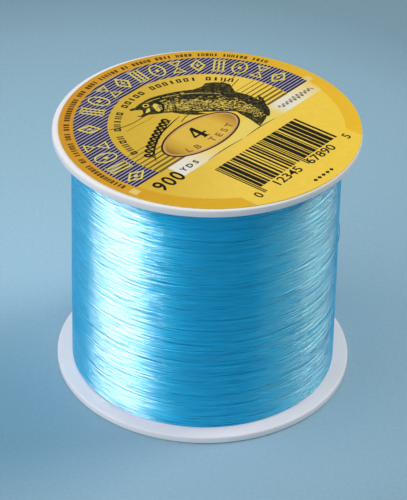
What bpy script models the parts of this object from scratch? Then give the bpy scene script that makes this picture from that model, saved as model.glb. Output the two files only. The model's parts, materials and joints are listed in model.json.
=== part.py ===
"""Filler spool of fishing line.

Two moulded flanges clip together through a barrel. The line is wound on the barrel. A tab of tape
holds each end of the line, and a round paper label covers the upper flange.

Metres, +Z up along the spool's axis. The origin is the centre of the face that the spool stands on.
"""
import math

import bmesh
import bpy
from mathutils import Matrix

MM = 0.001

# Whole spool
SPOOL_HEIGHT = 58.1 * MM          # rest face to the label's printed face
CLEARANCE = 0.3 * MM              # between pieces that touch
SEGMENTS = 72                     # sides of every turned piece

# Flanges
FLANGE_RADIUS = 31.75 * MM
FLANGE_THICKNESS = 1.7 * MM
FLANGE_EDGE_RADIUS = 0.4 * MM
EDGE_STEPS = 3
RIB_COUNT = 6
RIB_THICKNESS = 1.2 * MM
RIB_HEIGHT = 2.4 * MM

# Arbor: a tube on each flange; the two meet in a clip at half height
BORE_RADIUS = 5.0 * MM
BORE_CHAMFER = 0.5 * MM
ARBOR_RADIUS = 7.4 * MM
CLIP_LENGTH = 5.0 * MM
CLIP_RADIUS = 6.1 * MM            # where the spigot meets the socket
CLIP_BEAD = 0.5 * MM              # height of the spigot's bead
CLIP_BEAD_SETBACK = 1.2 * MM      # from the spigot's tip to the middle of its bead

# Barrel, held on a ring that stands up from each flange
BARREL_RADIUS = 24.0 * MM
BARREL_WALL = 1.6 * MM
RING_WALL = 1.2 * MM

# Line
WINDING_RADIUS = 28.0 * MM
WINDING_BORE_RADIUS = 24.5 * MM
WINDING_CORNER_RADIUS = 0.6 * MM

# Label, stuck down slightly off the axis
LABEL_RADIUS = 31.05 * MM
LABEL_THICKNESS = 0.2 * MM
LABEL_LIFT = 0.1 * MM
LABEL_CENTRE = (0.58 * MM, -0.04 * MM)

# Tapes
TAPE_THICKNESS = 0.15 * MM
TAPE_LIFT = 0.12 * MM
START_TAPE = {"angle": math.radians(100), "z": 9 * MM, "length": 16 * MM, "width": 10 * MM}
TAIL_TAPE = {"angle": math.radians(62), "z": 34 * MM, "length": 19 * MM, "width": 12 * MM}
TAPE_STEPS = 10

# Heights that follow
UPPER_FACE = SPOOL_HEIGHT - LABEL_THICKNESS - LABEL_LIFT
MIDDLE = UPPER_FACE / 2
WOUND_LOW = FLANGE_THICKNESS + CLEARANCE
WOUND_HIGH = UPPER_FACE - FLANGE_THICKNESS - CLEARANCE


def clear_scene():
    for obj in list(bpy.data.objects):
        bpy.data.objects.remove(obj, do_unlink=True)


def material(name, colour, roughness, alpha=1.0):
    mat = bpy.data.materials.new(name)
    mat.use_nodes = True
    shader = mat.node_tree.nodes["Principled BSDF"]
    shader.inputs["Base Color"].default_value = (*colour, 1.0)
    shader.inputs["Roughness"].default_value = roughness
    shader.inputs["Metallic"].default_value = 0.0
    shader.inputs["Alpha"].default_value = alpha
    return mat


def finish_object(name, bm, mat, parent):
    """Turn a bmesh into a named, smooth-shaded object on the spool."""
    bmesh.ops.recalc_face_normals(bm, faces=bm.faces)
    mesh = bpy.data.meshes.new(name)
    bm.to_mesh(mesh)
    bm.free()
    mesh.shade_smooth()
    mesh.set_sharp_from_angle(angle=math.radians(30))
    mesh.materials.append(mat)
    obj = bpy.data.objects.new(name, mesh)
    bpy.context.collection.objects.link(obj)
    obj.parent = parent
    return obj


def arc(centre, radius, start_deg, end_deg, steps):
    """Points (r, z) on an arc, both ends included."""
    points = []
    for step in range(steps + 1):
        angle = math.radians(start_deg + (end_deg - start_deg) * step / steps)
        points.append((centre[0] + radius * math.cos(angle), centre[1] + radius * math.sin(angle)))
    return points


def turned(profile):
    """Closed ring from a closed profile of (r, z) points turned about Z."""
    bm = bmesh.new()
    rings = []
    for step in range(SEGMENTS):
        angle = 2 * math.pi * step / SEGMENTS
        c, s = math.cos(angle), math.sin(angle)
        rings.append([bm.verts.new((r * c, r * s, z)) for r, z in profile])
    count = len(profile)
    for step in range(SEGMENTS):
        here, there = rings[step], rings[(step + 1) % SEGMENTS]
        for i in range(count):
            j = (i + 1) % count
            bm.faces.new((here[i], there[i], there[j], here[j]))
    return bm


def rim_profile():
    """A flange's rounded rim, from its outer face (z = 0) to its inner face."""
    edge = FLANGE_EDGE_RADIUS
    middle = FLANGE_RADIUS - edge
    outer_corner = arc((middle, edge), edge, -90, 0, EDGE_STEPS)
    inner_corner = arc((middle, FLANGE_THICKNESS - edge), edge, 0, 90, EDGE_STEPS)
    return outer_corner + inner_corner


def ring_profile():
    """The ring that the barrel fits over, from outside to inside."""
    outer = BARREL_RADIUS - BARREL_WALL - CLEARANCE
    inner = outer - RING_WALL
    top = FLANGE_THICKNESS + RIB_HEIGHT
    return [(outer, FLANGE_THICKNESS), (outer, top), (inner, top), (inner, FLANGE_THICKNESS)]


def spigot_profile():
    """The lower tube's end: a thin spigot with a bead, ending at the bore."""
    radius = CLIP_RADIUS - CLEARANCE / 2
    tip = MIDDLE + CLIP_LENGTH
    bead = tip - CLIP_BEAD_SETBACK
    return [
        (ARBOR_RADIUS, MIDDLE),
        (radius, MIDDLE),
        (radius, bead - CLIP_BEAD),
        (radius + CLIP_BEAD, bead),
        (radius, bead + CLIP_BEAD),
        (radius, tip),
        (BORE_RADIUS, tip),
    ]


def socket_profile():
    """The upper tube's end, measured down from the upper face: a socket with the bead's groove."""
    radius = CLIP_RADIUS + CLEARANCE / 2
    mouth = MIDDLE - CLEARANCE
    bead = mouth - CLIP_LENGTH + CLIP_BEAD_SETBACK + CLEARANCE
    floor = mouth - CLIP_LENGTH - CLEARANCE
    return [
        (ARBOR_RADIUS, mouth),
        (radius, mouth),
        (radius, bead + CLIP_BEAD),
        (radius + CLIP_BEAD, bead),
        (radius, bead - CLIP_BEAD),
        (radius, floor),
        (BORE_RADIUS, floor),
    ]


def ribs():
    """Low ribs from the arbor tube to the ring, as one mesh of separate bars."""
    inner = (BORE_RADIUS + ARBOR_RADIUS) / 2
    outer = BARREL_RADIUS - BARREL_WALL - CLEARANCE - RING_WALL / 2
    low = FLANGE_THICKNESS / 2
    high = FLANGE_THICKNESS + RIB_HEIGHT * 0.75
    bm = bmesh.new()
    for step in range(RIB_COUNT):
        turn = Matrix.Rotation(2 * math.pi * (step + 0.5) / RIB_COUNT, 4, "Z")
        shift = Matrix.Translation(((inner + outer) / 2, 0, (low + high) / 2))
        size = Matrix.Diagonal((outer - inner, RIB_THICKNESS, high - low, 1))
        bmesh.ops.create_cube(bm, size=1, matrix=turn @ shift @ size)
    return bm


def flange(name, tube_end, mat, parent):
    """A flange in its own frame: outer face at z = 0, tube and ring towards +z."""
    profile = rim_profile() + ring_profile()
    profile.append((ARBOR_RADIUS, FLANGE_THICKNESS))
    profile += tube_end
    profile += [(BORE_RADIUS, BORE_CHAMFER), (BORE_RADIUS + BORE_CHAMFER, 0)]
    obj = finish_object(name, turned(profile), mat, parent)

    bars = finish_object(name + "_ribs", ribs(), mat, obj)
    bars.hide_render = True
    bars.display_type = "WIRE"
    union = obj.modifiers.new("ribs", "BOOLEAN")
    union.operation = "UNION"
    union.object = bars
    return obj


def barrel(mat, parent):
    inner = BARREL_RADIUS - BARREL_WALL
    profile = [
        (BARREL_RADIUS, WOUND_LOW),
        (BARREL_RADIUS, WOUND_HIGH),
        (inner, WOUND_HIGH),
        (inner, WOUND_LOW),
    ]
    return finish_object("barrel", turned(profile), mat, parent)


def line_winding(mat, parent):
    """All the wound line as one ring, rounded where it meets the flanges."""
    corner = WINDING_CORNER_RADIUS
    middle = WINDING_RADIUS - corner
    profile = arc((middle, WOUND_LOW + corner), corner, -90, 0, EDGE_STEPS)
    profile += arc((middle, WOUND_HIGH - corner), corner, 0, 90, EDGE_STEPS)
    profile += [(WINDING_BORE_RADIUS, WOUND_HIGH), (WINDING_BORE_RADIUS, WOUND_LOW)]
    return finish_object("line_winding", turned(profile), mat, parent)


def tape(name, surface_radius, place, mat, parent):
    """A tab of tape bent round a turned surface."""
    low_radius = surface_radius + TAPE_LIFT
    radii = (low_radius, low_radius + TAPE_THICKNESS)
    heights = (place["z"] - place["width"] / 2, place["z"] + place["width"] / 2)
    corners = [(r, z) for r, z in zip((radii[0], radii[1], radii[1], radii[0]),
                                      (heights[0], heights[0], heights[1], heights[1]))]
    spread = place["length"] / low_radius
    bm = bmesh.new()
    rows = []
    for step in range(TAPE_STEPS + 1):
        angle = place["angle"] + spread * (step / TAPE_STEPS - 0.5)
        rows.append([bm.verts.new((r * math.cos(angle), r * math.sin(angle), z)) for r, z in corners])
    for here, there in zip(rows, rows[1:]):
        for i in range(4):
            j = (i + 1) % 4
            bm.faces.new((here[i], there[i], there[j], here[j]))
    bm.faces.new(rows[0])
    bm.faces.new(list(reversed(rows[-1])))
    return finish_object(name, bm, mat, parent)


def front_label(mat, parent):
    bm = bmesh.new()
    bmesh.ops.create_cone(
        bm, cap_ends=True, segments=SEGMENTS, radius1=LABEL_RADIUS, radius2=LABEL_RADIUS,
        depth=LABEL_THICKNESS)
    obj = finish_object("front_label", bm, mat, parent)
    obj.location = (*LABEL_CENTRE, SPOOL_HEIGHT - LABEL_THICKNESS / 2)
    return obj


def build():
    clear_scene()
    spool = bpy.data.objects.new("spool", None)
    bpy.context.collection.objects.link(spool)

    white_plastic = material("white_plastic", (0.78, 0.79, 0.82), 0.35)
    barrel_plastic = material("barrel_plastic", (0.72, 0.73, 0.75), 0.45)
    blue_line = material("blue_line", (0.03, 0.32, 0.58), 0.18)
    clear_tape = material("clear_tape", (0.86, 0.88, 0.86), 0.25, alpha=0.5)
    label_paper = material("label_paper", (0.80, 0.56, 0.11), 0.4)

    flange("lower_flange", spigot_profile(), white_plastic, spool)
    upper = flange("upper_flange", socket_profile(), white_plastic, spool)
    upper.rotation_euler = (math.pi, 0, 0)
    upper.location = (0, 0, UPPER_FACE)

    barrel(barrel_plastic, spool)
    line_winding(blue_line, spool)
    tape("start_tape", BARREL_RADIUS, START_TAPE, clear_tape, spool)
    tape("tail_tape", WINDING_RADIUS, TAIL_TAPE, clear_tape, spool)
    front_label(label_paper, spool)


build()
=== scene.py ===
"""Looks of the filler spool of fishing line: moulded flanges, wound nylon line, printed label, tapes.

Everything is in metres in the part's own frame. Flat label art is drawn in the label's own frame:
u runs along its lines of print and v runs up the print, both from the label's centre.
"""
import json
import math
import random

import bmesh
import bpy
import numpy as np
from mathutils import Matrix, Quaternion, Vector
from mathutils.geometry import tessellate_polygon

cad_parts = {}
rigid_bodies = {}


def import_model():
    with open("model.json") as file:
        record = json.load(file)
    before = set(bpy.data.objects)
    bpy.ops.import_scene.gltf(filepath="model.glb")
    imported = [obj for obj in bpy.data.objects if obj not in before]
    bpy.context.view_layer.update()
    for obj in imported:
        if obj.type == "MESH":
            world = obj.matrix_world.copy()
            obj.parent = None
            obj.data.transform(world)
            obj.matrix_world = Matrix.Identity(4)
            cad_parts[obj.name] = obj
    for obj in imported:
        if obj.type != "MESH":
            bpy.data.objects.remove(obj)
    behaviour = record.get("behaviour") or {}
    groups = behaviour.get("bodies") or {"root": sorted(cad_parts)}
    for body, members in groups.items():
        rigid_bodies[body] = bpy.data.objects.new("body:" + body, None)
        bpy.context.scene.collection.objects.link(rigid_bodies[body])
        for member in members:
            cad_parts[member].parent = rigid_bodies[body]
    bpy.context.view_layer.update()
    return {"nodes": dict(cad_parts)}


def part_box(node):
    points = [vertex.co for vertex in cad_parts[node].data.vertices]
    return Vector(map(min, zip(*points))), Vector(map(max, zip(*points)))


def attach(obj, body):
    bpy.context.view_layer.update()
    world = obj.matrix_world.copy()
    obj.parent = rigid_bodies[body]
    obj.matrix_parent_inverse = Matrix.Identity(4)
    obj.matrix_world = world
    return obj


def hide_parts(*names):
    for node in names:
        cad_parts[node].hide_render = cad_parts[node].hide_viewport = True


MM = 0.001
SEED = 11
SEGMENTS = 192                          # sides of every turned piece

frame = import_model()

# Places that come from the CAD model
LOWER_LOW, LOWER_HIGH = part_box("lower_flange")
LABEL_LOW, LABEL_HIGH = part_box("front_label")
TAIL_LOW, TAIL_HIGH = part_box("tail_tape")
SPOOL_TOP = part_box("upper_flange")[1].z
SPOOL_MIDDLE = SPOOL_TOP / 2

# Flanges; their sizes repeat the CAD model's
FLANGE_RADIUS = LOWER_HIGH.x
FLANGE_THICKNESS = 1.7 * MM
FLANGE_EDGE = 0.42 * MM
BORE_RADIUS = 5.0 * MM
BORE_LEAD = 0.5 * MM
ARBOR_RADIUS = 7.4 * MM
ARBOR_FILLET = 0.5 * MM
CLIP_RADIUS = 6.1 * MM
CLIP_LENGTH = 5.0 * MM
CLIP_PLAY = 0.15 * MM
BEAD_HEIGHT = 0.5 * MM
BEAD_SETBACK = 1.2 * MM                 # from the spigot's tip to the middle of its bead
RING_OUTER = 22.1 * MM
RING_INNER = 20.9 * MM
RING_HEIGHT = 2.4 * MM
RIB_COUNT = 6
RIB_THICKNESS = 1.2 * MM
WITNESS_RINGS = (9.5 * MM, 27.5 * MM)   # shallow mould marks in each outer face
WITNESS_DEPTH = 0.12 * MM

# Line; the depths are from the winding's surface to the middle of a strand or the core's face
LINE_RADIUS = 0.1 * MM
LINE_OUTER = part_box("line_winding")[1].x
LINE_TAPER = 0.6 * MM                   # how much fuller the winding is at its foot
CORE_DEPTH = 0.34 * MM
CORE_THICKNESS = 3.16 * MM
UNDER_DEPTH = 0.23 * MM
UNDER_PITCH = 0.22 * MM
CROSSING_DEPTH = 0.22 * MM
CROSSING_LAYERS = 5
CROSSING_TURNS = 130
LINE_DRIFT = 0.03 * MM                  # how much a strand strays from its even pitch
WOUND_LOW = LOWER_LOW.z + FLANGE_THICKNESS + LINE_RADIUS
WOUND_HIGH = SPOOL_TOP - FLANGE_THICKNESS - LINE_RADIUS

# Tail tape and the end of the line under it, measured from the tape's middle
TAPE_LENGTH = 19 * MM
TAPE_THICKNESS = 0.05 * MM
TAPE_LIFT = 0.22 * MM
TAPE_TOOTH = 0.2 * MM
TAPE_ANGLE = math.atan2((TAIL_LOW.y + TAIL_HIGH.y) / 2, (TAIL_LOW.x + TAIL_HIGH.x) / 2)
TAPE_LEVEL = (TAIL_LOW.z + TAIL_HIGH.z) / 2
TAIL_BEFORE = 60 * MM
TAIL_PAST = 15 * MM
TAIL_FREE = 5.4 * MM                    # the last stretch, that stands off the winding

# Label
LABEL_RADIUS = (LABEL_HIGH.x - LABEL_LOW.x) / 2
LABEL_CENTRE = (LABEL_LOW + LABEL_HIGH) / 2
LABEL_TURN = math.radians(51.3)
SHEET_TOP = LABEL_HIGH.z - 0.09 * MM
INK_STEP = 0.011 * MM
INK_SUNK = 0.01 * MM


# ---- materials

def srgb(r, g, b):
    """Linear colour from 8-bit screen values."""
    def linear(c):
        c /= 255
        return c / 12.92 if c <= 0.04045 else ((c + 0.055) / 1.055) ** 2.4
    return (linear(r), linear(g), linear(b), 1.0)


class Material:
    """A Principled material and short calls for the nodes in front of it."""

    def __init__(self, name, roughness, **sockets):
        self.mat = bpy.data.materials.new(name)
        self.mat.use_nodes = True
        self.tree = self.mat.node_tree
        self.shader = self.tree.nodes["Principled BSDF"]
        self.set("Roughness", roughness)
        for socket, value in sockets.items():
            self.set(socket.replace("_", " "), value)

    def set(self, socket, value):
        self.shader.inputs[socket].default_value = value

    def node(self, kind, **values):
        node = self.tree.nodes.new(kind)
        for key, value in values.items():
            setattr(node, key, value)
        return node

    def link(self, source, target):
        self.tree.links.new(source, target)

    def coordinates(self, scale=(1, 1, 1)):
        """The spool's own coordinates, scaled."""
        place = self.node("ShaderNodeTexCoord")
        mapping = self.node("ShaderNodeMapping")
        mapping.inputs["Scale"].default_value = scale
        self.link(place.outputs["Object"], mapping.inputs["Vector"])
        return mapping.outputs["Vector"]

    def along_print(self, low, high):
        """How far a point lies along the label's u axis, from 0 at low to 1 at high, in millimetres."""
        place = self.node("ShaderNodeTexCoord")
        mapping = self.node("ShaderNodeMapping", vector_type="TEXTURE")
        mapping.inputs["Location"].default_value = (LABEL_CENTRE.x, LABEL_CENTRE.y, 0)
        mapping.inputs["Rotation"].default_value = (0, 0, LABEL_TURN)
        self.link(place.outputs["Object"], mapping.inputs["Vector"])
        return self.share_of_x(mapping.outputs["Vector"], low, high)

    def across_spool(self):
        """How far a point lies across the spool, from 0 at -X to 1 at +X."""
        return self.share_of_x(self.coordinates(), -R_EDGE, R_EDGE)

    def share_of_x(self, vector, low, high):
        split = self.node("ShaderNodeSeparateXYZ")
        self.link(vector, split.inputs["Vector"])
        return self.map_range(split.outputs["X"], low * MM, high * MM, 0, 1)

    def noise(self, vector, scale, detail, roughness=0.5):
        node = self.node("ShaderNodeTexNoise")
        node.inputs["Scale"].default_value = scale
        node.inputs["Detail"].default_value = detail
        node.inputs["Roughness"].default_value = roughness
        self.link(vector, node.inputs["Vector"])
        return node.outputs["Fac"]

    def distance(self, vector, point):
        node = self.node("ShaderNodeVectorMath", operation="DISTANCE")
        node.inputs[1].default_value = point
        self.link(vector, node.inputs[0])
        return node.outputs["Value"]

    def ramp(self, factor, stops, interpolation="LINEAR"):
        """A colour ramp. Each stop is (position, colour)."""
        node = self.node("ShaderNodeValToRGB")
        ramp = node.color_ramp
        ramp.interpolation = interpolation
        while len(ramp.elements) < len(stops):
            ramp.elements.new(0.5)
        for element, (position, colour) in zip(ramp.elements, stops):
            element.position = position
            element.color = colour
        self.link(factor, node.inputs["Fac"])
        return node.outputs["Color"]

    def multiply(self, first, second):
        """One colour laid over another."""
        node = self.node("ShaderNodeMix", data_type="RGBA", blend_type="MULTIPLY")
        factor, a, b = (node.inputs[i] for i in (0, 6, 7))
        factor.default_value = 1.0
        self.link(first, a)
        self.link(second, b)
        return node.outputs[2]

    def map_range(self, value, low, high, to_low, to_high):
        node = self.node("ShaderNodeMapRange")
        sockets = ("From Min", "From Max", "To Min", "To Max")
        for socket, number in zip(sockets, (low, high, to_low, to_high)):
            node.inputs[socket].default_value = number
        self.link(value, node.inputs["Value"])
        return node.outputs["Result"]

    def colour(self, socket):
        self.link(socket, self.shader.inputs["Base Color"])

    def mottled_colour(self, socket):
        """The colour with a faint mottle over it."""
        mottle = self.noise(self.coordinates(), 700, 3)
        shades = self.ramp(mottle, [(0.3, (0.95, 0.95, 0.95, 1)), (0.7, (1, 1, 1, 1))])
        self.colour(self.multiply(socket, shades))

    def roughness(self, socket):
        self.link(socket, self.shader.inputs["Roughness"])

    def bump(self, height, strength, distance):
        node = self.node("ShaderNodeBump")
        node.inputs["Strength"].default_value = strength
        node.inputs["Distance"].default_value = distance
        self.link(height, node.inputs["Height"])
        self.link(node.outputs["Normal"], self.shader.inputs["Normal"])


def shade(colour, factor):
    """The colour made darker or lighter."""
    return (*(min(1.0, c * factor) for c in colour[:3]), 1.0)


def plastic_material(name, colour, roughness):
    """Moulded polystyrene: faint flow marks in the colour, fine orange peel, uneven gloss."""
    m = Material(name, roughness, Coat_Weight=0.1, Coat_Roughness=0.3, Subsurface_Weight=0.12)
    m.set("Specular IOR Level", 0.3)
    m.set("Subsurface Radius", (0.9, 0.95, 1.0))
    m.set("Subsurface Scale", 0.8 * MM)
    place = m.coordinates()
    flow = m.noise(place, 60, 4)
    m.colour(m.ramp(flow, [(0.3, shade(colour, 0.965)), (0.7, shade(colour, 1.02))]))
    m.roughness(m.map_range(m.noise(place, 300, 2), 0.3, 0.7, roughness - 0.05, roughness + 0.07))
    m.bump(m.noise(place, 900, 2), 0.15, 0.03 * MM)
    return m.mat


def line_material(name, colour, tint):
    """Glossy dyed nylon. The tint is the colour that light takes on inside the strands."""
    m = Material(name, 0.25, IOR=2.3, Specular_IOR_Level=1.0, Coat_Weight=0.6, Coat_Roughness=0.16)
    m.set("Coat IOR", 1.5)
    m.set("Specular Tint", tint)
    place = m.coordinates((1, 1, 14))
    m.colour(m.ramp(m.noise(place, 120, 3), [(0.3, shade(colour, 0.88)), (0.7, shade(colour, 1.12))]))
    return m.mat


def varnished(name):
    """Printed paper under a thin varnish."""
    m = Material(name, 0.5, Coat_Weight=0.35, Coat_Roughness=0.1)
    m.set("Specular IOR Level", 0.12)
    return m


def paper_material(name, colour):
    """One ink on the varnished paper: faint mottle and fibre relief."""
    m = varnished(name)
    place = m.coordinates()
    mottle = m.noise(place, 700, 3)
    m.colour(m.ramp(mottle, [(0.3, shade(colour, 0.96)), (0.7, shade(colour, 1.04))]))
    m.bump(m.noise(place, 2600, 2), 0.12, 0.012 * MM)
    return m.mat


# ---- mesh helpers

def finish_piece(name, mesh, material, replaces=()):
    """Link a mesh as a piece that rides on the spool."""
    mesh.materials.append(material)
    obj = bpy.data.objects.new(name, mesh)
    bpy.context.scene.collection.objects.link(obj)
    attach(obj, "root")
    if replaces:
        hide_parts(*replaces)
    return obj


def mesh_from(name, verts, faces, sharp_deg=30):
    """A smooth-shaded mesh with its faces pointing out."""
    mesh = bpy.data.meshes.new(name)
    mesh.from_pydata(verts, [], faces)
    bm = bmesh.new()
    bm.from_mesh(mesh)
    bmesh.ops.recalc_face_normals(bm, faces=bm.faces)
    bm.to_mesh(mesh)
    bm.free()
    mesh.shade_smooth()
    mesh.set_sharp_from_angle(angle=math.radians(sharp_deg))
    return mesh


def arc(centre, radius, start_deg, end_deg, steps):
    """Points on an arc, both ends included."""
    points = []
    for step in range(steps + 1):
        angle = math.radians(start_deg + (end_deg - start_deg) * step / steps)
        points.append((centre[0] + radius * math.cos(angle), centre[1] + radius * math.sin(angle)))
    return points


def turned(name, profile):
    """A ring turned from a closed profile of (r, z)."""
    count = len(profile)
    verts, faces = [], []
    for step in range(SEGMENTS):
        angle = 2 * math.pi * step / SEGMENTS
        verts += [(r * math.cos(angle), r * math.sin(angle), z) for r, z in profile]
        here, there = step * count, (step + 1) % SEGMENTS * count
        for i in range(count):
            j = (i + 1) % count
            faces.append((here + i, there + i, there + j, here + j))
    return mesh_from(name, verts, faces)


# ---- flanges

def flange_profile(tube_end):
    """A flange seen from its outer face at z = 0, with every edge eased."""
    edge, thick = FLANGE_EDGE, FLANGE_THICKNESS
    rim = FLANGE_RADIUS - edge
    profile = arc((rim, edge), edge, -90, 0, 8) + arc((rim, thick - edge), edge, 0, 90, 8)
    ease = 0.15 * MM
    top = thick + RING_HEIGHT
    profile += [(RING_OUTER, thick), (RING_OUTER, top - ease), (RING_OUTER - ease, top)]
    profile += [(RING_INNER + ease, top), (RING_INNER, top - ease), (RING_INNER, thick)]
    profile += arc((ARBOR_RADIUS + ARBOR_FILLET, thick + ARBOR_FILLET), ARBOR_FILLET, 270, 180, 4)
    profile += tube_end
    profile += arc((BORE_RADIUS + BORE_LEAD, BORE_LEAD), BORE_LEAD, 180, 270, 5)
    half = 0.25 * MM
    for ring in WITNESS_RINGS:
        profile += [(ring - half, 0), (ring - half * 0.4, WITNESS_DEPTH)]
        profile += [(ring + half * 0.4, WITNESS_DEPTH), (ring + half, 0)]
    return profile


def spigot_end():
    """The lower tube's end: a thin spigot with a bead."""
    radius, tip = CLIP_RADIUS - CLIP_PLAY, SPOOL_MIDDLE + CLIP_LENGTH
    bead = tip - BEAD_SETBACK
    return [(ARBOR_RADIUS, SPOOL_MIDDLE), (radius, SPOOL_MIDDLE), (radius, bead - BEAD_HEIGHT),
            (radius + BEAD_HEIGHT, bead), (radius, bead + BEAD_HEIGHT), (radius, tip), (BORE_RADIUS, tip)]


def socket_end():
    """The upper tube's end: a socket with the bead's groove."""
    radius, mouth = CLIP_RADIUS + CLIP_PLAY, SPOOL_MIDDLE - 2 * CLIP_PLAY
    bead = mouth - CLIP_LENGTH + BEAD_SETBACK + 2 * CLIP_PLAY
    floor = mouth - CLIP_LENGTH - 2 * CLIP_PLAY
    return [(ARBOR_RADIUS, mouth), (radius, mouth), (radius, bead + BEAD_HEIGHT),
            (radius + BEAD_HEIGHT, bead), (radius, bead - BEAD_HEIGHT), (radius, floor),
            (BORE_RADIUS, floor)]


def add_ribs(mesh, face, inward):
    """Ribs on a flange's inner face, from arbor to ring. inward is 1 if that face looks up, or -1."""
    bm = bmesh.new()
    bm.from_mesh(mesh)
    lap = 0.1 * MM
    near, far = ARBOR_RADIUS - lap, RING_INNER + lap
    for rib in range(RIB_COUNT):
        turn = Matrix.Rotation(2 * math.pi * rib / RIB_COUNT, 4, "Z")
        size = Matrix.Diagonal((far - near, RIB_THICKNESS, RING_HEIGHT + lap, 1))
        middle = Vector(((near + far) / 2, 0, face + inward * (RING_HEIGHT - lap) / 2))
        made = bmesh.ops.create_cube(bm, size=1, matrix=turn @ Matrix.Translation(middle) @ size)
        edges = {edge for vertex in made["verts"] for edge in vertex.link_edges}
        bmesh.ops.bevel(bm, geom=list(edges), offset=0.15 * MM, segments=2, affect="EDGES")
    bm.to_mesh(mesh)
    bm.free()


def make_flanges():
    white = plastic_material("white_polystyrene", srgb(243, 242, 246), 0.48)
    lower = turned("lower_flange_shell", flange_profile(spigot_end()))
    add_ribs(lower, FLANGE_THICKNESS, 1)
    finish_piece("lower_flange_shell", lower, white, ["lower_flange"])
    flipped = [(r, SPOOL_TOP - z) for r, z in flange_profile(socket_end())]
    upper = turned("upper_flange_shell", flipped)
    add_ribs(upper, SPOOL_TOP - FLANGE_THICKNESS, -1)
    finish_piece("upper_flange_shell", upper, white, ["upper_flange"])


# ---- line

def smooth_noise(rng, count, reach):
    """Aimless drift of unit size along a strand; reach is its softness in samples."""
    half = int(reach * 3) + 1
    kernel = np.exp(-0.5 * (np.arange(-half, half + 1) / reach) ** 2)
    noise = np.convolve(rng.standard_normal(count + 2 * half), kernel, "valid")
    return noise / np.sqrt((kernel ** 2).sum())


def taper(z):
    """How much fuller the wound line is at this height than at the top flange."""
    return LINE_TAPER * (WOUND_HIGH - z) / (WOUND_HIGH - WOUND_LOW)


def swell(angle, z):
    """How the wound surface swells and dips over its whole face."""
    along = (z - WOUND_LOW) / (WOUND_HIGH - WOUND_LOW)
    broad = 0.03 * np.sin(7.0 * along + 1.3 * np.sin(angle + 0.4))
    short = 0.018 * np.sin(19 * along + 2.1 * np.sin(angle * 2))
    return (broad + short) * MM


def strand_mesh(name, r, angle, z, sides):
    """A closed tube of line along a path, given by its radius, angle and height at each sample."""
    count = len(angle)
    points = np.stack([r * np.cos(angle), r * np.sin(angle), z], 1)
    outward = np.stack([np.cos(angle), np.sin(angle), np.zeros(count)], 1)
    tangent = np.gradient(points, axis=0)
    tangent /= np.linalg.norm(tangent, axis=1)[:, None]
    side = np.cross(tangent, outward)
    side /= np.linalg.norm(side, axis=1)[:, None]
    outward = np.cross(side, tangent)
    rings = []
    for k in range(sides):
        turn = 2 * math.pi * (k + 0.5) / sides
        rings.append(points + LINE_RADIUS * (math.cos(turn) * outward + math.sin(turn) * side))
    verts = np.stack(rings, 1).reshape(-1, 3)
    here = np.arange(count - 1)[:, None] * sides
    k = np.arange(sides)[None, :]
    k_next = (k + 1) % sides
    quads = np.stack([here + k, here + k_next, here + sides + k_next, here + sides + k], 2)
    faces = quads.reshape(-1, 4).tolist()
    faces.append(list(range(sides))[::-1])
    faces.append([(count - 1) * sides + i for i in range(sides)])
    mesh = bpy.data.meshes.new(name)
    mesh.from_pydata(verts.tolist(), [], faces)
    mesh.shade_smooth()
    return mesh


def wound_strand(name, rng, turns, per_turn, pitch, radii, bump):
    """A length of line wound to and fro between the flanges, each traverse crossing the last one.

    pitch is how far it climbs in a turn, and bump is how much it rides up and down.
    """
    samples = int(turns * per_turn) + 1
    angle = np.linspace(0, turns * 2 * np.pi, samples) + rng.uniform(0, 2 * np.pi)
    height = WOUND_HIGH - WOUND_LOW
    travel = rng.uniform(0, 2 * height) + np.linspace(0, turns * pitch, samples)
    travel = np.abs((travel + height) % (2 * height) - height)
    step = 2 * np.pi * LINE_OUTER / per_turn
    z = WOUND_LOW + travel + LINE_DRIFT * smooth_noise(rng, samples, 16 * MM / step)
    z = np.clip(z, WOUND_LOW, WOUND_HIGH)
    r = np.linspace(radii[0], radii[1], samples) + swell(angle, z)
    short = bump * smooth_noise(rng, samples, 1.5 * MM / step)
    r += short + 0.6 * bump * smooth_noise(rng, samples, 5 * MM / step)
    r = np.minimum(r, LINE_OUTER - LINE_RADIUS) + taper(z)
    return strand_mesh(name, r, angle, z, 4)


def line_tail(material):
    """The last stretch of line. It lies on the wound turns, runs under the tape and stands off past it."""
    share = np.linspace(0, 1, 160)
    along = -TAIL_BEFORE + (TAIL_BEFORE + TAIL_PAST) * share
    past = np.clip((along - TAIL_PAST + TAIL_FREE) / TAIL_FREE, 0, 1)
    sunk = np.clip(1 - share / 0.12, 0, 1)
    r = LINE_OUTER + (0.03 + 0.6 * past ** 2 - 0.14 * sunk) * MM
    z = TAPE_LEVEL + (0.9 - 2.6 * (1 - share) ** 1.5 + 1.4 * past ** 1.5) * MM
    mesh = strand_mesh("line_tail", r + taper(z), TAPE_ANGLE + along / LINE_OUTER, z, 8)
    finish_piece("line_tail", mesh, material)


def line_core(material):
    """The inner turns as one solid ring, rounded where it meets the flanges."""
    radius, corner = LINE_OUTER - CORE_DEPTH, 0.3 * MM
    low, high = WOUND_LOW - LINE_RADIUS * 0.5, WOUND_HIGH + LINE_RADIUS * 0.5
    profile = arc((radius + LINE_TAPER - corner, low + corner), corner, -90, 0, 4)
    profile += arc((radius - corner, high - corner), corner, 0, 90, 4)
    profile += [(radius - CORE_THICKNESS, high), (radius - CORE_THICKNESS, low)]
    core = turned("line_inner_turns", profile)
    finish_piece("line_inner_turns", core, material, ["line_winding"])


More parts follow.
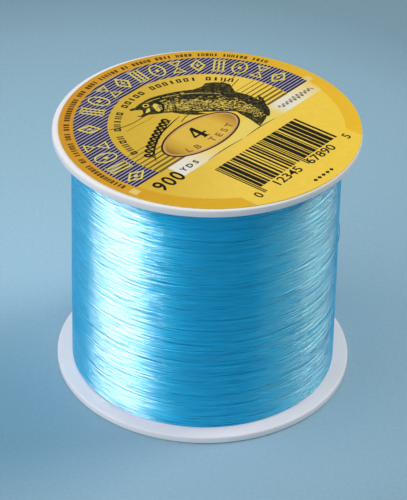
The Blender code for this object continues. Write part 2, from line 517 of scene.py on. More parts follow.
def make_line():
    rng = np.random.RandomState(SEED)
    body = (0.0, 0.42, 0.84, 1.0)
    tint = (0.05, 0.54, 0.60, 1.0)
    blue = line_material("nylon_line", body, tint)
    # Painted shade: the inner and under turns use a copy of the line 8% darker, as they lie under the
    # outer strands.
    painted_shade_line = line_material("nylon_line_painted_shade", shade(body, 0.92), tint)
    line_core(painted_shade_line)
    radius = LINE_OUTER - UNDER_DEPTH
    turns = (WOUND_HIGH - WOUND_LOW) / UNDER_PITCH
    under = wound_strand("line_turns_under", rng, turns, 72, UNDER_PITCH, (radius, radius), 0.006 * MM)
    finish_piece("line_turns_under", under, painted_shade_line)
    rise = 0.03 * MM / CROSSING_LAYERS
    for i in range(CROSSING_LAYERS):
        name = f"line_turns_{i + 1}"
        pitch = (4.3 + 0.37 * i) * MM
        start = LINE_OUTER - CROSSING_DEPTH + rise * i
        strand = wound_strand(name, rng, CROSSING_TURNS, 145, pitch, (start, start + rise), 0.005 * MM)
        finish_piece(name, strand, blue)
    line_tail(blue)


# ---- tapes

def tail_tape_strip(material):
    """A thin tab bent round the wound line, with pinked ends and a slight lift at its corners."""
    radius, width = LINE_OUTER + TAPE_LIFT, TAIL_HIGH.z - TAIL_LOW.z
    columns, rows = 36, 40
    verts = []
    for side in (0, 1):
        for i in range(columns + 1):
            for j in range(rows + 1):
                s, t = i / columns - 0.5, j / rows - 0.5
                tooth = 0.0
                if i in (0, columns):
                    tooth = (TAPE_TOOTH if j % 2 else -TAPE_TOOTH) * (1 if i else -1)
                lift = 0.3 * MM * max(0, abs(s) * 2 - 0.8) * max(0, abs(t) * 2 - 0.3)
                ripple = 0.02 * MM * math.sin(s * 40) * math.sin(t * 17)
                angle = TAPE_ANGLE + (s * TAPE_LENGTH + tooth) / radius
                z = TAPE_LEVEL + t * width
                r = radius + side * TAPE_THICKNESS + lift + ripple + taper(z)
                verts.append((r * math.cos(angle), r * math.sin(angle), z))

    def index(side, i, j):
        return (side * (columns + 1) + i) * (rows + 1) + j

    faces = []
    for i in range(columns):
        for j in range(rows):
            for side in (0, 1):
                corners = ((i, j), (i + 1, j), (i + 1, j + 1), (i, j + 1))
                faces.append(tuple(index(side, *corner) for corner in corners))
    for i in range(columns):
        for j in (0, rows):
            faces.append((index(0, i, j), index(0, i + 1, j), index(1, i + 1, j), index(1, i, j)))
    for j in range(rows):
        for i in (0, columns):
            faces.append((index(0, i, j), index(0, i, j + 1), index(1, i, j + 1), index(1, i, j)))
    mesh = mesh_from("tail_tape_strip", verts, faces, 50)
    finish_piece("tail_tape_strip", mesh, material, ["tail_tape"])


def repaint(node, material):
    """Give a CAD piece a new material."""
    materials = frame["nodes"][node].data.materials
    materials.clear()
    materials.append(material)


def make_tapes_and_barrel():
    m = Material("clear_tape", 0.12, Alpha=0.15, IOR=1.5, Coat_Weight=0.5, Coat_Roughness=0.05)
    place = m.coordinates()
    m.colour(m.ramp(m.noise(place, 400, 2), [(0.3, (0.86, 0.92, 0.93, 1)), (0.7, (0.96, 0.98, 0.98, 1))]))
    m.roughness(m.map_range(m.noise(place, 250, 3), 0.3, 0.7, 0.08, 0.2))
    tail_tape_strip(m.mat)
    repaint("start_tape", m.mat)
    repaint("barrel", plastic_material("barrel_polystyrene", srgb(214, 215, 219), 0.45))


# ---- label

class Ink:
    """Printed patches of one colour, as thin closed prisms on the label sheet."""

    def __init__(self, name, material, layer):
        self.name, self.material, self.layer = name, material, layer
        self.verts, self.faces = [], []

    def patch(self, *loops):
        """One patch in label millimetres. The first loop is its outline and the others are holes."""
        flat = [point for loop in loops for point in loop]
        start, n = len(self.verts), len(flat)
        for z in (SHEET_TOP - INK_SUNK, SHEET_TOP + INK_STEP * self.layer):
            self.verts += [(u * MM, v * MM, z) for u, v in flat]
        if len(loops) == 1:
            self.faces.append(tuple(range(start + n, start + 2 * n)))
            self.faces.append(tuple(range(start + n - 1, start - 1, -1)))
        else:
            vectors = [[Vector((u, v, 0)) for u, v in loop] for loop in loops]
            for a, b, c in tessellate_polygon(vectors):
                self.faces.append((start + n + a, start + n + b, start + n + c))
                self.faces.append((start + c, start + b, start + a))
        base = start
        for loop in loops:
            count = len(loop)
            for i in range(count):
                j = (i + 1) % count
                self.faces.append((base + i, base + j, base + n + j, base + n + i))
            base += count

    def patch_on_arc(self, radius, turn, loops):
        """A patch drawn round (0, 0), moved to stand on an arc."""
        self.patch(*[[polar_place(radius, turn, x, y) for x, y in loop] for loop in loops])

    def bar(self, u, v, width, height, turn=0.0):
        """A rectangle centred on (u, v)."""
        c, s = math.cos(turn), math.sin(turn)
        corners = ((-1, -1), (1, -1), (1, 1), (-1, 1))
        half_u, half_v = width / 2, height / 2
        self.patch([(u + c * a * half_u - s * b * half_v, v + s * a * half_u + c * b * half_v)
                    for a, b in corners])

    def stroke(self, points, width):
        """A line of even or tapering width through the points; width is a number or a list."""
        widths = width if isinstance(width, list) else [width] * len(points)
        left, right = [], []
        for i, (u, v) in enumerate(points):
            before, after = points[max(i - 1, 0)], points[min(i + 1, len(points) - 1)]
            du, dv = after[0] - before[0], after[1] - before[1]
            length = math.hypot(du, dv) or 1.0
            du, dv = du / length * widths[i] / 2, dv / length * widths[i] / 2
            left.append((u - dv, v + du))
            right.append((u + dv, v - du))
        self.patch(left + right[::-1])

    def ribbon(self, points, widths):
        """A stroke that may cross itself: short four-sided pieces, each a little higher than the last."""
        layer, lap = self.layer, 0.15
        for i in range(len(points) - 1):
            self.layer = layer + 0.3 * (i % 12) / 12
            (u0, v0), (u1, v1) = points[i], points[i + 1]
            du, dv = (u1 - u0) * lap, (v1 - v0) * lap
            self.stroke([(u0 - du, v0 - dv), (u1 + du, v1 + dv)], [widths[i], widths[i + 1]])
        self.layer = layer

    def text(self, words, u, v, height, turn=0.0, weight=0.0, stretch=1.0):
        """Letters in Blender's own typeface, centred on (u, v), with capitals of the given height."""
        curve = bpy.data.curves.new("letters", "FONT")
        curve.body = words
        curve.align_x, curve.align_y = "CENTER", "CENTER"
        curve.size = height / 0.72
        curve.offset = weight
        curve.extrude = 0.5
        curve.resolution_u = 6
        obj = bpy.data.objects.new("letters", curve)
        bpy.context.scene.collection.objects.link(obj)
        bpy.context.view_layer.update()
        mesh = bpy.data.meshes.new_from_object(obj.evaluated_get(bpy.context.evaluated_depsgraph_get()))
        c, s = math.cos(turn), math.sin(turn)
        start = len(self.verts)
        for vertex in mesh.vertices:
            x, y, z = vertex.co
            x *= stretch
            top = SHEET_TOP + INK_STEP * self.layer if z > 0 else SHEET_TOP - INK_SUNK
            self.verts.append(((u + c * x - s * y) * MM, (v + s * x + c * y) * MM, top))
        self.faces += [tuple(start + i for i in face.vertices) for face in mesh.polygons]
        bpy.data.objects.remove(obj)
        bpy.data.curves.remove(curve)
        bpy.data.meshes.remove(mesh)

    def finish(self):
        mesh = bpy.data.meshes.new(self.name)
        mesh.from_pydata(self.verts, [], self.faces)
        bm = bmesh.new()
        bm.from_mesh(mesh)
        bmesh.ops.remove_doubles(bm, verts=bm.verts, dist=0.0004 * MM)
        bmesh.ops.recalc_face_normals(bm, faces=bm.faces)
        bm.to_mesh(mesh)
        bm.free()
        lay_on_label(self.name, mesh, self.material)


def flat_ink(name, rgb, layer):
    """Patches of one plain ink."""
    return Ink(name, paper_material(name, srgb(*rgb)), layer)


def lay_on_label(name, mesh, material):
    """Turn and shift a mesh drawn in the label's frame to its place on the spool."""
    place = Matrix.Translation((LABEL_CENTRE.x, LABEL_CENTRE.y, 0)) @ Matrix.Rotation(LABEL_TURN, 4, "Z")
    mesh.transform(place)
    return finish_piece(name, mesh, material)


def circle(radius, steps, start=0, end=360):
    """Points on an arc about the label's centre; a full circle leaves out its repeated end."""
    points = arc((0, 0), radius, start, end, steps)
    return points[:-1] if end - start == 360 else points


def ellipse(centre, half_u, half_v, steps=72):
    return [(centre[0] + u * half_u, centre[1] + v * half_v) for u, v in circle(1, steps)]


def rectangle(left, foot, right, top):
    return [(left, foot), (right, foot), (right, top), (left, top)]


def smooth_loop(points, steps, closed=True):
    """Catmull-Rom curve through the points."""
    count = len(points)
    result = []
    for i in range(count if closed else count - 1):
        near = range(i - 1, i + 3)
        p = [points[k % count if closed else min(max(k, 0), count - 1)] for k in near]
        for step in range(steps):
            t = step / steps
            weights = (-0.5 * t + t * t - 0.5 * t ** 3, 1 - 2.5 * t * t + 1.5 * t ** 3,
                       0.5 * t + 2 * t * t - 1.5 * t ** 3, -0.5 * t * t + 0.5 * t ** 3)
            result.append(tuple(sum(w * q[axis] for w, q in zip(weights, p)) for axis in range(len(p[0]))))
    if not closed:
        result.append(points[-1])
    return result


# Label art, in millimetres: radii of the sheet, the arch and the dome, and the feet of two bands
R_EDGE = LABEL_RADIUS / MM
R_BAND = 28.0
R_DOME = 21.0
BAND_FOOT = -4.0
STRIP_FOOT = -8.5


def label_sheet():
    """The paper disc, printed yellow, with a painted sheen: darker warm yellow on the -X side to pale
    yellow on the +X side.
    """
    m = varnished("label_yellow")
    m.mottled_colour(m.ramp(m.across_spool(), [
        (0.0, srgb(209, 171, 52)), (0.35, srgb(224, 186, 64)), (0.6, srgb(246, 208, 84)),
        (1.0, srgb(250, 211, 72))]))
    m.bump(m.noise(m.coordinates(), 2600, 2), 0.12, 0.012 * MM)
    edge = 0.05 * MM
    rim = [(LABEL_RADIUS - edge, SPOOL_TOP), (LABEL_RADIUS, SPOOL_TOP + edge),
           (LABEL_RADIUS, SHEET_TOP - edge), (LABEL_RADIUS - edge, SHEET_TOP)]
    n = len(rim)
    verts, faces = [], []
    for step in range(SEGMENTS):
        angle = 2 * math.pi * step / SEGMENTS
        verts += [(r * math.cos(angle), r * math.sin(angle), z) for r, z in rim]
        here, there = step * n, (step + 1) % SEGMENTS * n
        faces += [(here + i, there + i, there + i + 1, here + i + 1) for i in range(n - 1)]
    faces.append(tuple(range(0, SEGMENTS * n, n)))
    faces.append(tuple(range(n - 1, SEGMENTS * n, n)))
    sheet = lay_on_label("label_sheet", mesh_from("label_sheet", verts, faces), m.mat)
    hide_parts("front_label")


def gold_ring():
    """The border: all round the top and down both sides, open at the foot."""
    m = varnished("ink_gold")
    # Painted sheen: the gold print is darker at -X and lighter towards +X across the spool.
    m.mottled_colour(m.ramp(m.across_spool(), [
        (0.0, srgb(214, 152, 42)), (0.5, srgb(227, 174, 36)), (1.0, srgb(244, 194, 48))]))
    ring = Ink("ink_gold_ring", m.mat, 1)
    foot = 17.2
    outer, inner = R_EDGE - 0.05, 27.7
    end_out = math.degrees(math.acos(foot / outer))
    end_in = math.degrees(math.acos(foot / inner))
    ring.patch(circle(outer, 160, -end_out, 180 + end_out) + circle(inner, 160, 180 + end_in, -end_in))
    ring.finish()


def span_at(radius, v):
    """Half the chord of a circle at height v."""
    return math.sqrt(max(radius * radius - v * v, 0.0))


def striped_band():
    """The arch: lavender ground with dark lines along u, between the dome and the border."""
    lavender = flat_ink("ink_lavender_arch", (172, 166, 192), 1.5)
    foot_out = math.degrees(math.asin(BAND_FOOT / R_BAND))
    foot_in = math.degrees(math.asin(BAND_FOOT / R_DOME))
    lavender.patch(circle(R_BAND, 120, foot_out, 180 - foot_out)
                   + circle(R_DOME, 100, 180 - foot_in, foot_in))
    lavender.finish()

    dark = flat_ink("ink_indigo_lines", (30, 20, 52), 2.2)
    pitch, thick = 0.8, 0.5
    v = BAND_FOOT
    while v + thick < R_BAND - 0.1:
        top = v + thick
        out_low, out_high = span_at(R_BAND, v), span_at(R_BAND, top)
        if top < R_DOME - 0.05:
            edge = [(span_at(R_DOME, v), v), (out_low, v), (out_high, top), (span_at(R_DOME, top), top)]
            for sign in (1, -1):
                dark.patch([(sign * u, w) for u, w in edge])
        else:
            dark.patch([(-out_low, v), (out_low, v), (out_high, top), (-out_high, top)])
        v += pitch
    dark.finish()


def olive_lines():
    """Lines that thicken downwards on each side of the dome."""
    olive = flat_ink("ink_olive_lines", (122, 98, 38), 1.5)
    v, count = 4.6, 8
    for i in range(count):
        thick = 0.16 + 0.07 * i
        for sign in (1, -1):
            reach = span_at(R_DOME, v) - 0.1
            inner = 12.5 if sign < 0 else 14.0
            olive.bar(sign * (reach + inner) / 2, v, reach - inner, thick)
        v -= 1.2
    olive.finish()


def motif_shapes(kind, line):
    """The loops of one motif, about 3.4 mm wide and 5 mm tall, as (outline, holes) round (0, 0)."""
    if kind == "lozenge":
        outer = [(0, 2.65), (1.7, 0), (0, -2.65), (-1.7, 0)]
        hole = [(x * 0.66, y * 0.72) for x, y in outer]
        return [(outer, hole), ([(x * 0.25, y * 0.25) for x, y in outer],)]
    if kind == "ring":
        hole = ellipse((0, 0), 1.75 - line * 1.25, 2.5 - line * 0.8, 32)
        return [(ellipse((0, 0), 1.75, 2.5, 32), hole), (ellipse((0, 0), 0.42, 0.6, 16),)]
    if kind == "columns":
        half = line * 0.6
        bars = [(rectangle(x - half, -2.4, x + half, 2.4),) for x in (-1.0, 0, 1.0)]
        return bars + [(rectangle(-1.5, y - 0.14, 1.5, y + 0.14),) for y in (-2.4, 2.4)]
    triangle = [(-1.55, 2.45), (1.55, 2.45), (0, 0.1)]
    hole = [(-0.95, 2.1), (0.95, 2.1), (0, 0.65)]
    return [(triangle, hole), ([(x, -y) for x, y in triangle][::-1], [(x, -y) for x, y in hole][::-1])]


def band_ornaments():
    """A chain of plain outlines round the arch, with two wider gaps on the left."""
    gold = flat_ink("ink_gold_chain", (226, 206, 92), 3.2)
    kinds = ("lozenge", "columns", "ring", "hourglass")
    radius, line, gap = 24.7, 0.36, 0.55
    slots = [i + gap * ((i > 3) + (i > 4)) for i in range(17)]
    for i, slot in enumerate(slots):
        turn = math.radians(183.0 - 179.5 * slot / slots[-1])
        for loops in motif_shapes(kinds[i % 4], line):
            gold.patch_on_arc(radius, turn, loops)
    gold.finish()


def polar_place(radius, turn, x, y):
    """A point of a motif that stands on an arc, x clockwise along it and y outwards."""
    c, s = math.cos(turn), math.sin(turn)
    return (radius * c + x * s + y * c, radius * s - x * c + y * s)


def mark_row(ink, radius, first, last, pitch, height, groups):
    """Small print made of plain marks (bars, squares, pairs of ticks) in groups along an arc."""
    rng = random.Random(SEED + groups[0])
    step = math.degrees(pitch / radius)
    w, h, t = pitch * 0.66 / 2, height / 2, height * 0.24
    marks = {
        "bar": [[rectangle(-t * 0.7, -h, t * 0.7, h)]],
        "square": [[rectangle(-w, -h, w, h), rectangle(-w + t, -h + t, w - t, h - t)]],
        "pair": [[rectangle(x - t / 2, -h, x + t / 2, h)] for x in (-w * 0.7, w * 0.7)],
    }
    angle = first
    for group in groups:
        for _ in range(group):
            if angle < last:
                return
            for loops in marks[rng.choice(("bar", "square", "square", "pair"))]:
                ink.patch_on_arc(radius, math.radians(angle), loops)
            angle -= step
        angle -= step


def small_print():
    """Rows of marks in place of the print round the border and over the fish."""
    brown = flat_ink("ink_brown_marks", (74, 48, 16), 2.2)
    mark_row(brown, 29.35, 184, -5, 0.93, 1.15, (12, 2, 6, 3, 3, 10, 3, 4, 6, 2, 5, 4, 4, 5, 6, 4))
    brown.finish()
    black = flat_ink("ink_black_marks", (48, 40, 20), 2.2)
    mark_row(black, 19.0, 166, 12, 1.6, 1.4, (5, 5, 5, 7, 4))
    black.finish()


def weight_oval():
    centre, half_u, half_v = (-4.0, -0.85), 10.8, 5.35
    outline = flat_ink("ink_oval_outline", (48, 30, 16), 3.4)
    outline.patch(ellipse(centre, half_u, half_v), ellipse(centre, half_u - 0.42, half_v - 0.40))
    outline.finish()
    border = flat_ink("ink_oval_border", (208, 160, 104), 3.2)
    border.patch(ellipse(centre, half_u - 0.3, half_v - 0.3))
    border.finish()
    m = varnished("ink_oval_gold")
    m.colour(m.ramp(m.along_print(centre[0] - half_u, centre[0] + half_u), [
        (0.04, srgb(150, 104, 34)), (0.15, srgb(206, 162, 56)), (0.3, srgb(228, 190, 74)),
        (0.75, srgb(228, 188, 72)), (0.9, srgb(196, 146, 52)), (0.97, srgb(160, 112, 38))]))
    field = Ink("ink_oval_field", m.mat, 3.8)
    field.patch(ellipse(centre, half_u - 0.98, half_v - 0.84))
    field.finish()


def figures():
    """The quantity marks: a 4 in the oval and the length in the strip."""
    black = flat_ink("ink_black_figures", (30, 26, 18), 5)
    u, v = -4.2, -0.1
    black.patch([(u + 0.1, v + 2.3), (u + 0.9, v + 2.3), (u + 0.9, v - 0.45), (u + 1.75, v - 0.45),
                 (u + 1.75, v - 0.95), (u + 0.9, v - 0.95), (u + 0.9, v - 1.9), (u + 1.5, v - 2.2),
                 (u - 0.7, v - 2.2), (u - 0.1, v - 1.9), (u - 0.1, v - 0.95), (u - 1.85, v - 0.95),
                 (u - 1.85, v - 0.6)],
                [(u - 0.1, v + 1.2), (u - 1.25, v - 0.45), (u - 0.1, v - 0.45)])
    for i, digit in enumerate("900"):
        black.text(digit, -24.4 + 2.55 * i, -7.6, 3.5, weight=0.07, stretch=0.88)
    for i, letter in enumerate("YDS"):
        black.text(letter, -16.6 + 1.85 * i, -6.9, 1.3, weight=0.04, stretch=1.1)
    black.finish()
    tan = flat_ink("ink_tan_unit", (150, 96, 62), 5)
    letters = "LB TEST"
    for i, letter in enumerate(letters):
        along = (i - (len(letters) - 1) / 2) * 2.15
        tan.text(letter, -4.0 + along, -3.95 + along * along * 0.021, 1.55, along * 0.042, 0.05, 1.15)
    tan.finish()


def strip():
    """The pale strip under the arch, the cream ends of the arch and a ribbon of waves."""
    m = varnished("ink_strip")
    left = -18.3
    white, pale = srgb(236, 230, 214), srgb(240, 212, 104)
    m.colour(m.ramp(m.along_print(left, 28.3), [
        (0.0, white), (0.08, white), (0.26, pale), (0.66, pale), (0.74, white),
        (0.82, srgb(240, 232, 200)), (1.0, srgb(238, 206, 96))]))
    band = Ink("ink_strip", m.mat, 1.5)
    right_low, right_high = span_at(R_BAND, STRIP_FOOT), span_at(R_BAND, BAND_FOOT)
    top = BAND_FOOT - 0.1
    band.patch([(left, STRIP_FOOT), (right_low, STRIP_FOOT), (right_high, top), (left, top)])
    band.finish()
    ends = flat_ink("ink_band_ends", (236, 206, 122), 2.8)
    for u, v, turn in ((-29.1, -4.9, 0.1), (28.4, -3.5, -0.1)):
        ends.bar(u, v, 1.7, 1.9, turn)
    ends.finish()
    waves = flat_ink("ink_wave_marks", (112, 112, 104), 2.8)
    points, widths = [], []
    for k in range(180):
        swing = math.sin(0.31 * k) * (1 - 0.3 * math.sin(0.05 * k))
        points.append((15.0 + 0.06 * k, -6.4 + 0.62 * swing))
        widths.append(0.16 + 0.26 * math.cos(0.155 * k + 0.4) ** 2)
    waves.ribbon(points, widths)
    waves.finish()


def barcode():
    """A made-up pattern of bars over placeholder digits; it encodes nothing."""
    black = flat_ink("ink_barcode", (34, 30, 22), 3)
    rng = random.Random(SEED + 1)
    left, right, top = -12.7, 13.4, -11.5
    module = (right - left) / 95
    u = left
    place = 0
    while u < right - module:
        guard = place in (0, 1, 15, 16, 29, 30)
        width = module if guard else module * rng.choice((1, 2, 2, 3, 4))
        gap = module if guard else module * rng.choice((1, 1, 1, 2, 2))
        foot = -24.2 if guard else -22.3
        if u + width > right:
            break
        black.patch(rectangle(u, foot, u + width, top))
        u += width + gap
        place += 1
    for digits, u, v, height, stretch in (("0", -14.2, -23.9, 2.1, 0.95), ("12345", -5.1, -23.9, 2.2, 1.1),
                                          ("67890", 5.8, -23.9, 2.2, 1.1), ("5", 14.8, -23.7, 2.1, 0.95)):
        black.text(digits, u, v, height, weight=0.03, stretch=stretch)
    for i in range(5):
        black.bar(-2.6 + 1.3 * i, -28.9, 0.7, 0.7, math.pi / 4)
    black.finish()


FISH_SPINE = ((-5.6, 14.3, 1.7), (-3.0, 13.7, 2.8), (0.6, 12.3, 3.7), (5.8, 8.2, 4.6), (10.5, 2.2, 4.0),
              (11.3, -3.2, 2.6), (9.4, -6.1, 1.5))
FISH_STEPS = 10


def beside(t, side):
    """A point beside the spine at share t; side counts half-widths, positive towards the back."""
    spine = smooth_loop(FISH_SPINE, FISH_STEPS, False)
    place = t * (len(spine) - 1)
    i = min(int(place), len(spine) - 2)
    f = place - i
    u, v, half = (a + (b - a) * f for a, b in zip(spine[i], spine[i + 1]))
    du, dv = spine[i + 1][0] - spine[i][0], spine[i + 1][1] - spine[i][1]
    length = math.hypot(du, dv)
    return (u - dv / length * half * side, v + du / length * half * side)


def fish_line(start, end, side_start, side_end, steps=12):
    """Points along the body from one share and side to another."""
    return [beside(start + (end - start) * i / steps, side_start + (side_end - side_start) * i / steps)
            for i in range(steps + 1)]


def mottled_ink(name, dark, middle, light, scale):
    """Printed engraving: dark ink broken up by flecks of the paper's yellow."""
    m = varnished(name)
    flecks = m.noise(m.coordinates(), scale, 4, 0.75)
    m.colour(m.ramp(flecks, [(0.42, dark), (0.53, middle), (0.62, light)]))
    return m.mat


def fish_fins():
    """Fins and tail, printed under the body."""
    ink = mottled_ink("ink_fin", srgb(32, 30, 20), srgb(58, 52, 28), srgb(130, 112, 48), 1700)
    fin = Ink("ink_fish_fins", ink, 3.6)
    fin.patch([beside(0.47, 0.9), (11.0, 11.2), (12.5, 11.6), (14.1, 10.4), (15.3, 8.8), (15.6, 7.4),
               beside(0.66, 0.9)])
    fin.patch([beside(0.70, -0.85), (7.5, -1.9), (7.1, -4.8), (6.3, -8.0), (8.4, -7.0), beside(0.98, 0.3),
               beside(0.9, -0.5)])
    fin.patch([beside(0.78, 0.92), (16.0, 0.3), (15.6, -1.6), beside(0.88, 0.9)])
    fin.finish()
    second = Ink("ink_fish_belly_fins", ink, 3.3)
    second.patch([beside(0.30, -0.9), (-0.2, 6.6), (1.3, 4.6), (3.1, 3.3), beside(0.44, -0.9)])
    second.patch([beside(0.92, 0.7), (12.6, -5.2), (9.6, -7.0), (6.3, -8.0), beside(0.99, -0.5)])
    second.finish()


def fish():
    """A plain leaping fish of a simple design: body, fins, gill, eye and flecks."""
    fish_fins()
    skin = mottled_ink("ink_fish", srgb(30, 29, 20), srgb(50, 47, 26), srgb(120, 104, 46), 1500)
    body = Ink("ink_fish_body", skin, 4.0)
    back, throat = fish_line(0.03, 0.97, 1, 1, 40), fish_line(0.96, 0.06, -1, -1, 40)
    mouth = [(-6.7, 12.3), (-7.2, 13.6), (-6.5, 13.0), (-5.5, 13.3), (-4.6, 14.3), (-5.4, 15.2),
             (-6.5, 15.9), (-6.2, 16.5)]
    body.patch(back + throat + mouth)
    body.finish()

    scales = mottled_ink("ink_fish_flank", srgb(40, 37, 22), srgb(120, 104, 44), srgb(224, 194, 86), 1700)
    flank = Ink("ink_fish_flank", scales, 4.4)
    flank.patch(fish_line(0.30, 0.93, -0.78, -0.62, 20) + fish_line(0.93, 0.30, 0.02, 0.12, 20))
    flank.finish()

    rng = random.Random(SEED + 2)
    glint = flat_ink("ink_fish_glints", (232, 202, 92), 4.8)
    marks = flat_ink("ink_fish_marks", (24, 22, 15), 5.2)
    for _ in range(460):
        t, side = rng.uniform(0.24, 0.96), min(0.8, max(-0.85, rng.gauss(-0.35, 0.36)))
        size = rng.uniform(0.10, 0.30)
        ends = [beside(t, side), beside(t + 0.004 + size * 0.05, side + 0.01)]
        glint.stroke(ends, size)
    for _ in range(230):
        t, side = rng.uniform(0.22, 0.96), rng.uniform(-0.8, 0.85)
        size = rng.uniform(0.10, 0.26)
        marks.patch(ellipse(beside(t, side), size, size * rng.uniform(0.6, 1.0), 7))
    gill = [beside(0.235, -0.85), beside(0.29, -0.4), beside(0.30, 0.1), beside(0.255, 0.55)]
    marks.stroke(smooth_loop(gill, 6, False), 0.4)
    cheek = [beside(0.20, -0.7), beside(0.25, -0.55), beside(0.275, -0.1), beside(0.25, 0.3),
             beside(0.21, 0.05)]
    glint.patch(smooth_loop(cheek, 5))
    jaw = [beside(0.06, -0.6), beside(0.13, -0.45), beside(0.16, 0.0), beside(0.12, -0.1)]
    glint.patch(smooth_loop(jaw, 5))
    glint.stroke(fish_line(0.19, 0.60, 0.72, 0.66, 14), 0.16)
    eye = beside(0.155, 0.45)
    glint.patch(ellipse(eye, 0.72, 0.68, 24))
    marks.patch(ellipse(eye, 0.40, 0.40, 20))
    glint.finish()
    marks.finish()


def water_lines():
    """The leader from the mouth, dots and thin lines round the fish, and rules under the strip."""
    thin = flat_ink("ink_thin_lines", (88, 66, 26), 4)
    leader = [(-6.6, 12.4), (-9.5, 12.3), (-12.5, 12.9), (-15.0, 14.2)]
    thin.stroke(smooth_loop(leader, 8, False), 0.16)
    for ripple, width in (([(-3.0, 5.2), (-0.5, 5.9), (3.0, 6.2)], 0.18),
                          ([(15.0, 9.3), (17.0, 8.6), (18.9, 8.7)], 0.16),
                          ([(15.2, 6.6), (17.0, 7.0), (18.6, 7.4)], 0.16)):
        thin.stroke(smooth_loop(ripple, 6, False), width)
    for i in range(14):
        thin.bar(-13.0 + 0.6 * i, 11.2 - 0.03 * i, 0.28, 0.14)
    for start, end in ((-11.0, 0.2), (1.2, 11.0)):
        points = [(start + (end - start) * i / 10, -8.15 - 0.25 * ((i / 5 - 1) ** 2)) for i in range(11)]
        thin.stroke(points, [0.04 + 0.2 * math.sin(math.pi * i / 10) for i in range(11)])
    thin.finish()


def line_flourish():
    """A loose coil of line drawn with a broad pen, rising along the oval's upper left."""
    black = flat_ink("ink_flourish", (26, 22, 14), 4.6)
    loops, steps = 10.0, 200
    points, widths = [], []
    for i in range(steps + 1):
        share = i / steps
        turn = 2 * math.pi * loops * share
        heading = math.radians(52 - 42 * share)
        base = (-17.2 + 13.2 * share, 0.4 + 6.9 * share ** 0.72)
        x, y = 0.85 * math.sin(turn), 0.8 * (1 - math.cos(turn))
        c, s = math.cos(heading), math.sin(heading)
        points.append((base[0] + c * x - s * y, base[1] + s * x + c * y))
        widths.append(0.2 + 0.36 * abs(math.sin(turn / 2)))
    black.ribbon(points, widths)
    swash = smooth_loop([(-18.0, -0.9), (-15.2, 2.0), (-10.5, 4.9), (-5.0, 6.3), (-1.5, 6.9)], 8, False)
    black.stroke(swash, [0.05 + 0.3 * math.sin(math.pi * k / (len(swash) - 1)) for k in range(len(swash))])
    black.finish()


def make_label():
    label_sheet()
    gold_ring()
    striped_band()
    olive_lines()
    band_ornaments()
    small_print()
    strip()
    weight_oval()
    figures()
    barcode()
    fish()
    water_lines()
    line_flourish()


# ---- studio

def area_light(name, azimuth, elevation, distance, size, power, sees="both", colour=(1, 1, 1)):
    """A softbox at an azimuth from +X, aimed at the spool's middle.

    "matt" keeps it out of glossy reflections. "line" lights only the gloss of the wound line, as a
    flagged strip light does.
    """
    a, e = math.radians(azimuth), math.radians(elevation)
    aim = Vector((0, 0, SPOOL_MIDDLE))
    offset = Vector((math.cos(a) * math.cos(e), math.sin(a) * math.cos(e), math.sin(e))) * distance
    data = bpy.data.lights.new(name, "AREA")
    data.shape = "RECTANGLE"
    data.size, data.size_y = size
    data.energy = power
    data.color = colour
    obj = bpy.data.objects.new(name, data)
    obj.location = aim + offset
    obj.rotation_mode = "QUATERNION"
    obj.rotation_quaternion = (-offset).to_track_quat("-Z", "Y")
    obj.visible_diffuse = sees != "line"
    obj.visible_glossy = sees != "matt"
    if sees == "line":
        obj.light_linking.receiver_collection = wound_line()
    bpy.context.scene.collection.objects.link(obj)


def wound_line():
    """The pieces of line, as the set that the strip lights reach."""
    pieces = bpy.data.collections.get("wound_line")
    if pieces is None:
        pieces = bpy.data.collections.new("wound_line")
        for obj in bpy.data.objects:
            if obj.name.startswith("line_") and obj.type == "MESH":
                pieces.objects.link(obj)
    return pieces


def paper_floor():
    """Pale blue paper with a painted pool of light behind the spool and a painted soft shadow on its left.
    """
    half = 4.0
    mesh = bpy.data.meshes.new("floor")
    corners = [(u, v, 0) for u, v in rectangle(-half, -half, half, half)]
    mesh.from_pydata(corners, [], [(0, 1, 2, 3)])
    m = Material("pale_paper", 0.8)
    m.set("Specular IOR Level", 0.15)
    place = m.coordinates()
    # Painted pool of light: the paper's blue is brightest near a point behind the spool on the left and
    # darkens away from it.
    away = m.map_range(m.distance(place, (-22 * MM, 42 * MM, 0)), 0, 0.28, 0, 1)
    blue = (0.340, 0.548, 0.685, 1)
    painted_light_pool = m.ramp(away, [(0.0, shade(blue, 1.08)), (0.14, shade(blue, 1.02)), (0.25, shade(blue, 0.95)),
                         (0.36, shade(blue, 0.84)), (0.46, shade(blue, 0.65)), (0.8, shade(blue, 0.5))])
    # Painted shadow: a soft darker patch on the paper to the left of the spool.
    left = m.map_range(m.distance(place, (-48 * MM, -24 * MM, 0)), 0.004, 0.046, 0, 1)
    shadow = m.ramp(left, [(0, (0.68, 0.82, 0.88, 1)), (1, (1, 1, 1, 1))], "EASE")
    grain = m.ramp(m.noise(place, 1100, 3), [(0.3, (0.93, 0.93, 0.93, 1)), (0.7, (1, 1, 1, 1))])
    m.colour(m.multiply(m.multiply(painted_light_pool, shadow), grain))
    mesh.materials.append(m.mat)
    floor = bpy.data.objects.new("floor", mesh)
    bpy.context.scene.collection.objects.link(floor)


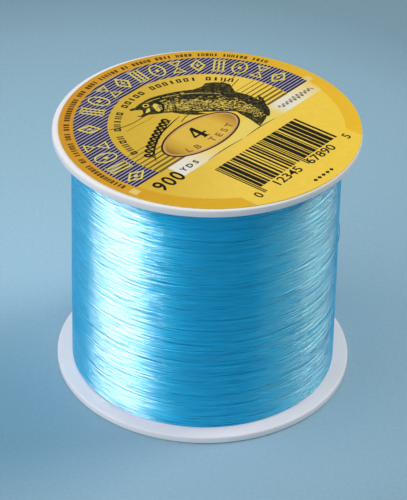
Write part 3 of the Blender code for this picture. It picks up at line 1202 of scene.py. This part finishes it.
def make_studio():
    paper_floor()
    world = bpy.data.worlds.new("studio")
    world.use_nodes = True
    background = world.node_tree.nodes["Background"]
    background.inputs["Color"].default_value = (0.75, 0.9, 1.0, 1)
    background.inputs["Strength"].default_value = 0.14
    bpy.context.scene.world = world

    area_light("key_left", 200, 31, 0.55, (0.60, 0.46), 1.7)
    area_light("fill_right", 20, 38, 0.70, (0.30, 0.30), 2.2, colour=(1.0, 0.96, 0.90))
    area_light("front_fill", 262, 26, 0.80, (0.70, 0.50), 1.3, "matt")
    area_light("overhead", 90, 82, 0.80, (0.90, 0.90), 2.5, "matt")
    area_light("strip_far_left", 148, 40, 0.50, (0.26, 0.36), 0.8, "line", (1.0, 0.50, 0.45))
    area_light("strip_left", 190, 40, 0.50, (0.37, 0.36), 19, "line", (1.0, 0.28, 0.24))
    area_light("strip_left_core", 200, 40, 0.48, (0.28, 0.36), 10.8, "line", (1.0, 0.30, 0.27))
    area_light("strip_front_left", 232, 38, 0.50, (0.26, 0.36), 0.6, "line", (0.02, 0.72, 1.0))
    area_light("strip_right", 17, 38, 0.60, (0.48, 0.52), 10.6, "line", (1.0, 0.22, 0.10))
    area_light("strip_front_right", 335, 30, 0.60, (0.35, 0.30), 0.6, "line", (1.0, 0.8, 0.6))

    scene = bpy.context.scene
    scene.view_settings.view_transform = "Standard"
    scene.view_settings.look = "None"


def make_camera():
    """A long lens from the front and above, rolled slightly anticlockwise."""
    location = Vector((0, -371.2, 280.7)) * MM
    target = Vector((-0.25, -0.95, 27.67)) * MM
    roll = math.radians(-1.22)
    data = bpy.data.cameras.new("camera")
    data.sensor_width = 36
    data.lens = 152.3
    data.clip_start = 0.01
    obj = bpy.data.objects.new("camera", data)
    forward = (target - location).normalized()
    obj.location = location
    obj.rotation_mode = "QUATERNION"
    obj.rotation_quaternion = Quaternion(forward, roll) @ forward.to_track_quat("-Z", "Y")
    bpy.context.scene.collection.objects.link(obj)
    bpy.context.scene.camera = obj


make_flanges()
make_line()
make_tapes_and_barrel()
make_label()
make_studio()
make_camera()
